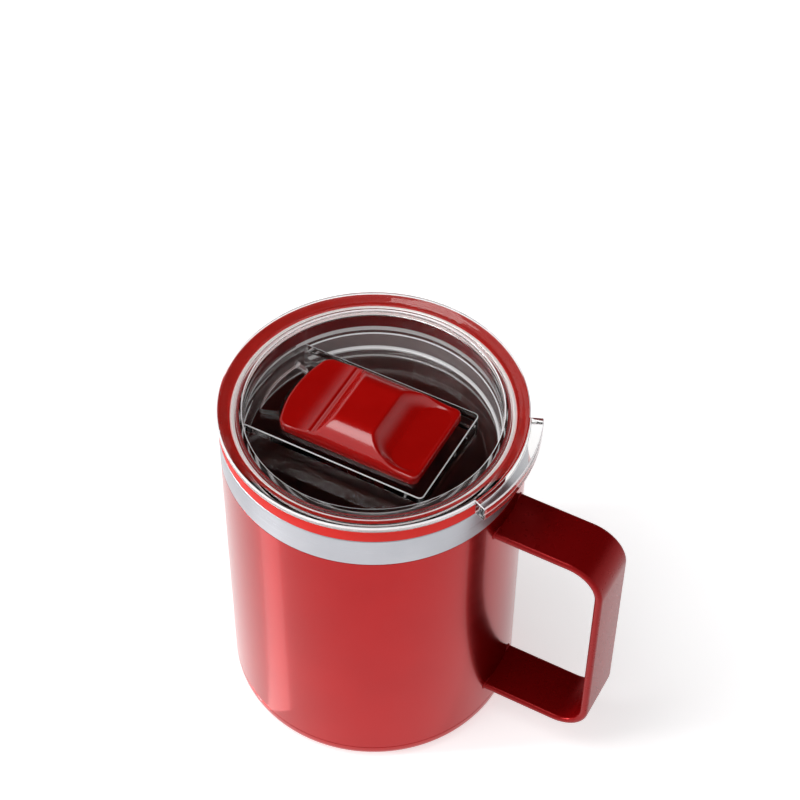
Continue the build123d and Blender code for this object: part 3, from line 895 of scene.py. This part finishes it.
# ---- Seals ------------------------------------------------------------------
@dataclass
class Seals:
    """The two red silicone rings of the lid."""

    at: Datum
    paint: Palette
    root: float = 2.8
    land: float = 0.4
    cone_in: float = 2.8
    lip_w: float = 1.2
    lip_gap: float = 0.1
    reach: float = 1.3
    body: float = 0.9
    fins: int = 2
    fin: float = 0.5
    tip_edge: float = 0.12
    slope: float = 0.6
    lead: float = 0.9
    lead_w: float = 0.35

    def build(self) -> None:
        """Makes the ring under the flange and the ring round the plug."""
        low, high = span("rim_gasket")
        r_in = self.at.bore_r + self.lip_w + self.lip_gap
        r_out = self.at.gasket_r
        rim = turned([
            Corner(r_in, low.z, 0.2), Corner(r_out, low.z, 0.3), Corner(r_out, high.z, 0.2),
            Corner(r_out - self.land, high.z, 0.2),
            Corner(r_out - self.cone_in, self.at.lid_top - self.root, 0.2),
            Corner(r_in, self.at.lid_top - self.root, 0.1),
        ])
        # The rim seal wears the glowing red silicone, a painted light.
        finished(rim, "rim_seal", self.paint.of(SEAL), "seals", ["rim_gasket"])
        low, high = span("plug_gasket")
        r_fin = high.x
        r_root = r_fin - self.reach
        r_body = r_root + self.body
        outline = [Corner(r_root, high.z), Corner(r_root + self.lead_w, high.z),
                   Corner(r_body, high.z - self.lead, 0.2)]
        pitch = (high.z - low.z - self.lead) / self.fins
        for index in range(self.fins):
            tip = high.z - self.lead - self.slope / 2 - index * pitch
            outline += [Corner(r_body, tip), Corner(r_fin, tip - self.slope / 2, self.tip_edge),
                        Corner(r_fin, tip - self.slope / 2 - self.fin, self.tip_edge),
                        Corner(r_body, tip - self.slope - self.fin)]
        outline += [Corner(r_body, low.z, 0.1), Corner(r_root, low.z)]
        finished(turned(outline), "plug_seal", self.paint.of(PLUG_SEAL), "seals", ["plug_gasket"])


# ---- Lid --------------------------------------------------------------------
@dataclass
class ClearLid:
    """Clear one-piece lid: flange, well, raised slide bed, drink slot and thumb tab."""

    at: Datum
    paint: Palette
    flange: float = 1.74
    edge: float = 0.6
    bead_step: float = 0.3
    bead_in: float = 42.2
    bead_out: float = 43.1
    well_r: float = 38.0
    ledge_drop: float = 10.0
    ledge: float = 0.3
    draft: float = 0.2
    well_depth: float = 16.0
    floor: float = 1.6
    plug_r: float = 39.3
    root: float = 2.75
    land: float = 0.7
    cone_in: float = 3.1
    seal_top: float = 3.5
    seal_h: float = 4.5
    shoulder: float = 0.7
    rib: float = 0.6
    rib_h: float = 1.1
    groove: float = 0.3
    plug_draft: float = 0.4
    bed_drop: float = 8.7
    bed_w: float = 15.25
    gutter: float = 1.6
    gutter_depth: float = 2.0
    wall: float = 1.35
    end_x: float = 25.6
    end_gap: float = 1.05
    bed_plate: float = 1.4
    corner: float = 1.6
    bite: float = 0.4
    skin: float = 0.8
    bed_edge: float = 0.28
    channel_corner: float = 0.8
    mouth: float = 0.2
    mouth_depth: float = 0.25
    mouth_corner: float = 1.0
    island_corner: float = 1.4
    island_edge: float = 0.25
    slot: tuple[float, float, float] = (28.2, 34.4, 18.9)
    slot_corner: float = 2.0
    upright: float = 0.3
    level: float = 0.94
    painted_reflection_from: float = 36.0
    shallow: float = 1.2
    deep: float = 9.0
    slot_rings: tuple[float, float] = (27.5, 34.9)
    slot_far: float = 25.0
    slot_half_w: float = 12.0
    tab_angle: float = 22.75
    tab_drop: float = 5.2
    guide: tuple[float, float, float] = (-13.1, 9.1, 3.0)

    def build(self) -> None:
        """Works the lid from its turned blank with tools that run past the plug, and finishes it."""
        top = self.at.lid_top
        bed = top - self.bed_drop
        mesh = combine(self.blank(), self.thumb_tab(), Cut.ADD)
        half = self.bed_w + self.gutter + self.wall
        floor_low = top - self.well_depth - self.floor
        far = -self.plug_r
        reach = drum(self.plug_r - self.skin, floor_low + self.bite, top)
        box = slab(far - 4, self.end_x, half, floor_low + self.bite, bed, self.corner, self.bed_edge)
        mesh = combine(mesh, combine(box, reach, Cut.KEEP), Cut.ADD)
        well_r = self.well_r - self.draft - self.ledge
        keep = drum(well_r, floor_low - OVERCUT, top + OVERCUT)
        inner = half - self.wall
        inner_x = self.end_x - self.wall
        gutter_z = bed - self.gutter_depth
        mouth_z = bed - self.mouth_depth
        channel = slab(far - 6, inner_x, inner, gutter_z, mouth_z, self.channel_corner)
        mouth = slab(far - 6, inner_x + self.mouth, inner + self.mouth, mouth_z, bed + OVERCUT,
                     self.mouth_corner)
        island = slab(far - 9, inner_x - self.end_gap, self.bed_w, gutter_z - 0.2, bed,
                      self.island_corner, self.island_edge)
        ring = combine(combine(channel, mouth, Cut.ADD), island, Cut.REMOVE)
        mesh = combine(mesh, combine(ring, keep, Cut.KEEP), Cut.REMOVE)
        plate_low = gutter_z - self.bed_plate
        hollow_r = self.well_r - 2 * self.draft - self.ledge
        cell = drum(hollow_r, floor_low - OVERCUT, top)
        hollow = slab(far - 2, inner_x, inner, floor_low - 2, plate_low, self.channel_corner)
        mesh = combine(mesh, combine(hollow, cell, Cut.KEEP), Cut.REMOVE)
        r_in, r_out, half_angle = self.slot
        cut_low, cut_high = plate_low - THROUGH, bed + THROUGH
        drink = arc_block(r_in, r_out, half_angle, cut_low, cut_high, self.slot_corner)
        mesh = combine(mesh, drink, Cut.REMOVE)
        x_low, x_high, guide_w = self.guide
        mesh = combine(mesh, slab(x_low, x_high, guide_w, cut_low, cut_high), Cut.REMOVE)
        lid = finished(mesh, "lid_moulding", self.paint.of(CLEAR), "lid", ["lid_shell"],
                       28.0)
        self.paint_lid_highlights(lid.data, bed * MM)

    def paint_lid_highlights(self, data: bpy.types.Mesh, bed: float) -> None:
        """Paints light on the moulding: rounded edges and wall tops get a glowing whitish material as a
        painted highlight, and outer upright walls and the walls by the slot get a pinkish, partly
        opaque material as a painted reflection.

        Args:
            data: Mesh of the lid.
            bed: Height of the slide bed.
        """
        data.materials.append(self.paint.of(CLEAR_WALL_PAINTED_REFLECTION))
        data.materials.append(self.paint.of(CLEAR_EDGE_PAINTED_HIGHLIGHT))
        track = (self.bed_w + self.gutter - 0.2) * MM
        end = (self.end_x - self.wall - 0.2) * MM
        top = self.at.lid_top * MM
        plug = (self.plug_r + self.shoulder + 0.1) * MM
        cone = (self.at.flange_r - self.land - 0.05) * MM
        ring_in, ring_out = (radius * MM for radius in self.slot_rings)
        for face in data.polygons:
            centre, rise = face.center, abs(face.normal.z)
            radius = math.hypot(centre.x, centre.y)
            deep = top - centre.z
            wall_top = abs(centre.z - bed) < 0.5 * MM and (abs(centre.y) > track or centre.x > end)
            outer = radius > self.painted_reflection_from * MM and not self.shallow * MM <= deep <= self.deep * MM
            by_slot = (centre.x < -self.slot_far * MM and ring_in < radius < ring_out
                       and abs(centre.y) < self.slot_half_w * MM)
            # Wall tops and sloped edge faces take the glowing painted highlight.
            if wall_top or (self.upright < rise < self.level and not plug < radius < cone):
                face.material_index = PAINTED_HIGHLIGHT_SLOT
            # Outer upright walls and the walls by the slot take the pinkish painted reflection.
            elif rise <= self.upright and (outer or by_slot):
                face.material_index = PAINTED_REFLECTION_SLOT

    def blank(self) -> bmesh.types.BMesh:
        """Turns the flange, well, plug and skirt.

        Returns:
            The turned blank.
        """
        top = self.at.lid_top
        under = top - self.flange
        seal_low = top - self.seal_top - self.seal_h
        ledge_z = top - self.ledge_drop
        ledge_r = self.well_r - self.draft
        floor_r = ledge_r - self.ledge - self.draft
        floor_z = top - self.well_depth
        return turned([
            Corner(self.well_r, top - self.bead_step, 0.4),
            Corner(self.bead_in, top - self.bead_step, 0.2),
            Corner(self.bead_out, top, 0.3), Corner(self.at.flange_r, top, self.edge),
            Corner(self.at.flange_r, under, 0.3), Corner(self.at.flange_r - self.land, under, 0.2),
            Corner(self.at.flange_r - self.cone_in, top - self.root, 0.2),
            Corner(self.plug_r + self.shoulder, top - self.root),
            Corner(self.plug_r + self.shoulder, top - self.seal_top, 0.15),
            Corner(self.plug_r - self.groove, top - self.seal_top),
            Corner(self.plug_r - self.groove, seal_low), Corner(self.plug_r + self.rib, seal_low, 0.2),
            Corner(self.plug_r + self.rib, seal_low - self.rib_h, 0.2),
            Corner(self.plug_r, seal_low - self.rib_h - self.rib, 0.2),
            Corner(self.plug_r - self.plug_draft, self.at.skirt_z, 0.4),
            Corner(floor_r, self.at.skirt_z, 0.4), Corner(floor_r, floor_z - self.floor, 0.3),
            Corner(0, floor_z - self.floor), Corner(0, floor_z), Corner(floor_r, floor_z, 1.0),
            Corner(ledge_r - self.ledge, ledge_z - self.ledge, 0.15),
            Corner(ledge_r, ledge_z, 0.15),
        ])

    def thumb_tab(self) -> bmesh.types.BMesh:
        """Turns the tab over the handle.

        Returns:
            The tab, with rounded edges.
        """
        top = self.at.lid_top
        reach = span("lid_shell")[1].x
        under = top - self.flange
        mesh = turned([
            Corner(self.bead_out + 0.6, under + 0.3), Corner(self.at.flange_r + 0.02, under + 0.3),
            Corner(self.at.flange_r + 0.02, top - self.tab_drop, 0.3),
            Corner(reach, top - self.tab_drop, 0.5), Corner(reach, top, 0.5),
            Corner(self.bead_out + 0.6, top - 0.01),
        ], 36, 2 * self.tab_angle, -self.tab_angle)
        ends = [edge for edge in mesh.edges if len(edge.link_faces) == 2
                and max(len(f.verts) for f in edge.link_faces) > 4]
        bmesh.ops.bevel(mesh, geom=ends, offset=0.25, offset_type="OFFSET", segments=2, profile=0.5,
                        affect="EDGES", material=-1)
        return closed_up(mesh)


# ---- Shutter ----------------------------------------------------------------
@dataclass
class Shutter:
    """Red sliding shutter: nose plate, ramp, hump and thumb scoop, with its pad and keeper."""

    at: Datum
    paint: Palette
    half_w: float = 15.0
    nose_r: float = 36.8
    corner: float = 2.4
    plate: float = 6.0
    step: float = 4.75
    hump: float = 0.6
    low: float = 5.7
    edge: float = 0.9
    ramp: tuple[float, float] = (-20.6, -13.8)
    rise: tuple[float, float] = (-12.4, -7.4)
    crown: float = 4.5
    flank_from: float = 7.0
    flank_w: float = 7.95
    flank_h: float = 5.6
    flank_bend: float = 1.6
    scoop_depth: float = 1.9
    scoop_corner: float = 6.5
    cells: tuple[int, int] = (190, 120)
    nose_blend: float = 9.0
    end_blend: float = 5.0
    foot_drop: float = 8.5
    ramp_power: float = 1.8
    notch: float = 0.3
    tail_from: float = 5.0
    tail_power: float = 1.15
    flank_soft: float = 0.9
    scoop_rim: float = 1.7
    scoop_wall: float = 5.5
    scoop_fade: float = 9.0
    pad_arc: tuple[float, float, float] = (27.0, 35.6, 20.9)
    pad_corner: float = 2.0
    travel: float = 10.0
    keeper_corner: float = 1.5
    keeper_edge: float = 0.3
    leg_half_w: float = 2.85
    leg_root: float = 0.5
    legs: tuple[tuple[float, float], ...] = ((-3.0, 0.0), (6.0, 9.0))
    barbs: tuple[tuple[float, float], ...] = ((-3.5, 0.0), (6.0, 9.5))
    barb_h: float = 0.7

    def build(self) -> None:
        """Makes the cap, the silicone pad and the keeper plate."""
        low, high = span("slider_cap")
        self.nose_x, self.end_x = low.x, high.x
        self.foot_z = self.at.lid_top - self.foot_drop
        self.cap(low.z)
        pad_low, pad_high = span("slider_pad")
        pad = arc_block(*self.pad_arc, pad_low.z, pad_high.z, self.pad_corner, self.travel)
        finished(pad, "shutter_pad", self.paint.of(PLUG_SEAL), "slider", ["slider_pad"])
        keep_low, keep_high = span("slider_retainer")
        keeper = slab(keep_low.x, keep_high.x, keep_high.y, keep_low.z, keep_high.z,
                      self.keeper_corner, self.keeper_edge)
        finished(keeper, "keeper_plate", self.paint.of(SHUTTER), "slider", ["slider_retainer"])

    def inside(self, x: float, y: float) -> float:
        """Gives how far a point of the plan lies from the shutter's outline."""
        side = self.half_w - abs(y)
        nose = self.nose_r - math.hypot(x - self.nose_x - self.nose_r, y)
        end = self.end_x - x
        tip = min(nose, end)
        if side < self.corner and tip < self.corner:
            return self.corner - math.hypot(self.corner - side, self.corner - tip)
        return min(side, tip)

    def spine(self, x: float) -> float:
        """Gives the height below the lid's top along the middle, before the scoop."""
        if x < self.ramp[0]:
            return -self.plate
        if x < self.ramp[1]:
            share = (x - self.ramp[0]) / (self.ramp[1] - self.ramp[0])
            return -self.plate + (self.plate - self.step) * share ** self.ramp_power
        if x < self.rise[0]:
            share = (x - self.ramp[1]) / (self.rise[0] - self.ramp[1])
            return -self.step - self.notch * math.sin(math.pi * share) ** 2
        if x < self.rise[1]:
            share = (x - self.rise[0]) / (self.rise[1] - self.rise[0])
            return blend(-self.step, -self.hump, share)
        if x < self.crown:
            return -self.hump
        fall = min((x - self.crown) / (self.end_x - self.crown - self.tail_from), 1.0)
        return -self.hump - (self.low - self.hump) * math.sin(fall * math.pi / 2) ** self.tail_power

    def scoop(self, x: float, y: float) -> float:
        """Gives the depth of the thumb scoop below the spine."""
        side = self.half_w - self.scoop_rim - abs(y)
        tip = x - self.crown
        depth = min(side, tip)
        if side < self.scoop_corner and tip < self.scoop_corner:
            depth = self.scoop_corner - math.hypot(self.scoop_corner - side, self.scoop_corner - tip)
        if depth <= 0:
            return 0.0
        share = min(depth / self.scoop_wall, 1.0)
        fade = min(max((self.end_x - x) / self.scoop_fade, 0.0), 1.0)
        return self.scoop_depth * (1 - (1 - share) ** 2) * fade

    def height(self, x: float, y: float) -> float:
        """Gives the top surface's height above the lid's top."""
        reach = min(max(abs(y) - self.flank_from, 0.0) / self.flank_w, 1.0)
        drop = self.flank_h * (1.0 - (1.0 - reach ** self.flank_bend) ** (1.0 / self.flank_bend))
        surface = soft_min(self.spine(x), -self.hump - drop, self.flank_soft) - self.scoop(x, y)
        near = max(self.edge - self.inside(x, y), 0.0)
        rounded_off = self.edge - math.sqrt(max(self.edge ** 2 - near ** 2, 0.0))
        return max(surface, -self.plate) - rounded_off

    def cap(self, legs_low: float) -> None:
        """Shapes the cap from a grid, closes it below and adds its legs.

        Args:
            legs_low: Height of the legs' tips.
        """
        mesh = bmesh.new()
        across, along = self.cells
        bmesh.ops.create_grid(mesh, x_segments=across, y_segments=along, size=1.0)
        for vert in mesh.verts:
            y = self.half_w * math.sin(vert.co.y * math.pi / 2)
            left, right = self.ends(y)
            share = (vert.co.x + math.sin(vert.co.x * math.pi / 2)) / 2
            straight = self.nose_x + (share + 1) / 2 * (self.end_x - self.nose_x)
            by_nose = max(1 - (straight - self.nose_x) / self.nose_blend, 0.0)
            by_end = max(1 - (self.end_x - straight) / self.end_blend, 0.0)
            x = straight + (left - self.nose_x) * by_nose + (right - self.end_x) * by_end
            vert.co = Vector((x, y, self.at.lid_top + self.height(x, y)))
        rim = [edge for edge in mesh.edges if edge.is_boundary]
        skirt = bmesh.ops.extrude_edge_only(mesh, edges=rim)["geom"]
        verts = [item for item in skirt if isinstance(item, bmesh.types.BMVert)]
        for vert in verts:
            vert.co.z = self.foot_z
        lower = [item for item in skirt if isinstance(item, bmesh.types.BMEdge)
                 and all(v in verts for v in item.verts)]
        bmesh.ops.contextual_create(mesh, geom=lower)
        closed_up(mesh)
        half_w, root_z = self.leg_half_w, self.foot_z + self.leg_root
        legs = [slab(*reach, half_w, legs_low, root_z) for reach in self.legs]
        barbs = [slab(*reach, half_w, legs_low, legs_low + self.barb_h) for reach in self.barbs]
        finished(joined([mesh, *legs, *barbs]), "slide_shutter", self.paint.of(SHUTTER), "slider",
                 ["slider_cap"], 38.0)

    def ends(self, y: float) -> tuple[float, float]:
        """Gives the plan's X at its nose and its thumb end for one Y."""
        into = max(abs(y) - (self.half_w - self.corner), 0.0)
        round_off = self.corner - math.sqrt(max(self.corner ** 2 - into ** 2, 0.0))
        left = self.nose_x + self.nose_r - math.sqrt(self.nose_r ** 2 - y ** 2) + round_off
        return left, self.end_x - round_off


def blend(start: float, end: float, share: float) -> float:
    """Eases from one value to another."""
    share = min(max(share, 0.0), 1.0)
    return start + (end - start) * share * share * (3 - 2 * share)


def soft_min(first: float, second: float, width: float) -> float:
    """Gives the smaller of two values, blended where they meet."""
    share = min(max(0.5 + (second - first) / (2 * width), 0.0), 1.0)
    return second + (first - second) * share - width * share * (1 - share)


# ---- Studio -----------------------------------------------------------------
@dataclass(frozen=True)
class Softbox:
    """A rectangular lamp aimed at the mug.

    Attributes:
        name: Name of the lamp.
        azimuth: Direction from the mug, in degrees from -Y towards +X.
        elevation: Height above the horizon, in degrees.
        distance: Distance from the target, in metres.
        width: Width in metres.
        height: Height in metres.
        watts: Power.
    """

    name: str
    azimuth: float
    elevation: float
    distance: float
    width: float
    height: float
    watts: float

    def place(self, target: Vector) -> None:
        """Adds the lamp.

        Args:
            target: Point that it faces.
        """
        data = bpy.data.lights.new(self.name, "AREA")
        data.shape = "RECTANGLE"
        data.size = self.width
        data.size_y = self.height
        data.energy = self.watts
        lamp = bpy.data.objects.new(self.name, data)
        back = toward(self.azimuth, self.elevation)
        lamp.location = target + back * self.distance
        lamp.rotation_mode = "QUATERNION"
        lamp.rotation_quaternion = back.to_track_quat("Z", "Y")
        bpy.context.scene.collection.objects.link(lamp)


def staged(mesh: bmesh.types.BMesh, name: str, finish: Finish) -> None:
    """Makes a mesh part of the studio, in metres, which stays out of the mug.

    Args:
        mesh: Worked mesh, which is freed.
        name: Name of the object.
        finish: Its surface.
    """
    data = bpy.data.meshes.new(name)
    mesh.to_mesh(data)
    mesh.free()
    data.materials.append(finish.material())
    prop = bpy.data.objects.new(name, data)
    bpy.context.scene.collection.objects.link(prop)


def toward(azimuth: float, elevation: float) -> Vector:
    """Gives the unit direction of an azimuth and an elevation, in degrees."""
    a, e = math.radians(azimuth), math.radians(elevation)
    return Vector((math.sin(a) * math.cos(e), -math.cos(a) * math.cos(e), math.sin(e)))


@dataclass
class Studio:
    """Camera, floor, lamps and surroundings."""

    at: Datum
    azimuth: float = 27.886
    elevation: float = 48.765
    roll: float = 0.664
    lens: float = 95.61
    stand: tuple[float, float, float] = (195.3, -352.8, 462.04)
    black: float = 0.01
    aim: float = 0.7
    floor_glow: float = 0.6
    haze: tuple[float, float, float] = (0.72, 0.72, 0.73)
    flag: tuple[float, float] = (174.0, 52.0)
    flag_spread: tuple[float, float] = (36.0, 58.0)
    glow_from: tuple[float, float, float] = (-10.4, -44.0, 0.15)
    glow_azimuth: float = -54.5
    glow_reach: tuple[float, float] = (6.0, 110.0)
    glow_half_w: tuple[float, float] = (5.0, 20.0)
    glow_power: float = 1.22
    lamps: tuple[Softbox, ...] = (
        Softbox("key_softbox", -46.0, 68.0, 0.9, 0.44, 0.44, 2.6),
        Softbox("left_strip", -54.0, 8.0, 1.2, 0.10, 0.3, 8.0),
    )

    def build(self) -> None:
        """Sets up the studio."""
        bpy.context.scene.view_settings.view_transform = "Standard"
        self.camera()
        self.floor()
        self.floor_strip()
        self.surround()
        for lamp in self.lamps:
            lamp.place(Vector((0.0, 0.0, self.at.lid_top * MM * self.aim)))

    def camera(self) -> None:
        """Adds the camera, looking down on the lid from the front and the handle's side."""
        back = toward(self.azimuth, self.elevation)
        right = Vector((0, 0, 1)).cross(back).normalized()
        up = back.cross(right)
        turn = math.radians(self.roll)
        across = right * math.cos(turn) + up * math.sin(turn)
        upright = up * math.cos(turn) - right * math.sin(turn)
        data = bpy.data.cameras.new("view")
        data.lens = self.lens
        data.sensor_width = 36.0
        data.clip_start = 0.01
        view = bpy.data.objects.new("view", data)
        x, y, above = self.stand
        place = Matrix.Translation(Vector((x, y, self.at.lid_top + above)) * MM)
        view.matrix_world = place @ Matrix((across, upright, back)).transposed().to_4x4()
        bpy.context.scene.collection.objects.link(view)
        bpy.context.scene.camera = view

    def floor(self) -> None:
        """Adds a wide pale floor."""
        mesh = bmesh.new()
        bmesh.ops.create_grid(mesh, x_segments=8, y_segments=8, size=4.0)
        pale = Finish("pale_floor", (0.92, 0.92, 0.92), (0.90, 0.90, 0.90), gloss=(0.8, 0.9), patch=4.0,
                      specular=0.1, glow=self.floor_glow)
        staged(mesh, "floor", pale)

    def floor_strip(self) -> None:
        """Adds a low glowing strip in front, which the paint mirrors as an upright streak."""
        ahead = toward(self.glow_azimuth, 0.0)
        aside = Vector((-ahead.y, ahead.x, 0.0))
        start = Vector(self.glow_from)
        near, far = (start + ahead * reach for reach in self.glow_reach)
        near_w, far_w = self.glow_half_w
        mesh = bmesh.new()
        corners = (near - aside * near_w, far - aside * far_w,
                   far + aside * far_w, near + aside * near_w)
        mesh.faces.new([mesh.verts.new(corner * MM) for corner in corners])
        bmesh.ops.recalc_face_normals(mesh, faces=mesh.faces[:])
        lit = Finish("strip_glow", (1.0, 1.0, 1.0), (1.0, 1.0, 1.0), gloss=(0.8, 0.9),
                     glow=self.glow_power)
        staged(mesh, "floor_strip", lit)

    def surround(self) -> None:
        """Lights the scene evenly, with a black flag high behind the mug."""
        world = bpy.data.worlds.new("studio")
        bpy.context.scene.world = world
        world.use_nodes = True
        tree = world.node_tree
        place = tree.nodes.new("ShaderNodeTexCoord")
        near = tree.nodes.new("ShaderNodeVectorMath")
        near.operation = "DOT_PRODUCT"
        near.inputs[1].default_value = toward(*self.flag)
        ramp = tree.nodes.new("ShaderNodeValToRGB")
        ramp.color_ramp.interpolation = "EASE"
        ramp.color_ramp.elements[0].position = math.cos(math.radians(self.flag_spread[1]))
        ramp.color_ramp.elements[0].color = (*self.haze, 1.0)
        ramp.color_ramp.elements[1].position = math.cos(math.radians(self.flag_spread[0]))
        ramp.color_ramp.elements[1].color = (self.black, self.black, self.black, 1.0)
        tree.links.new(place.outputs["Generated"], near.inputs[0])
        tree.links.new(near.outputs["Value"], ramp.inputs["Fac"])
        background = tree.nodes["Background"]
        background.inputs["Strength"].default_value = 1.0
        tree.links.new(ramp.outputs["Color"], background.inputs["Color"])


def main() -> None:
    """Builds the mug and its studio."""
    logging.basicConfig(level=logging.INFO, format="%(message)s")
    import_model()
    at = Datum.measure()
    paint = Palette()
    for assembly in (SteelBody(at, paint), Handle(at, paint), Seals(at, paint), ClearLid(at, paint),
                     Shutter(at, paint), Studio(at)):
        LOG.info("building %s", type(assembly).__name__)
        assembly.build()


if __name__ == "__main__":
    main()
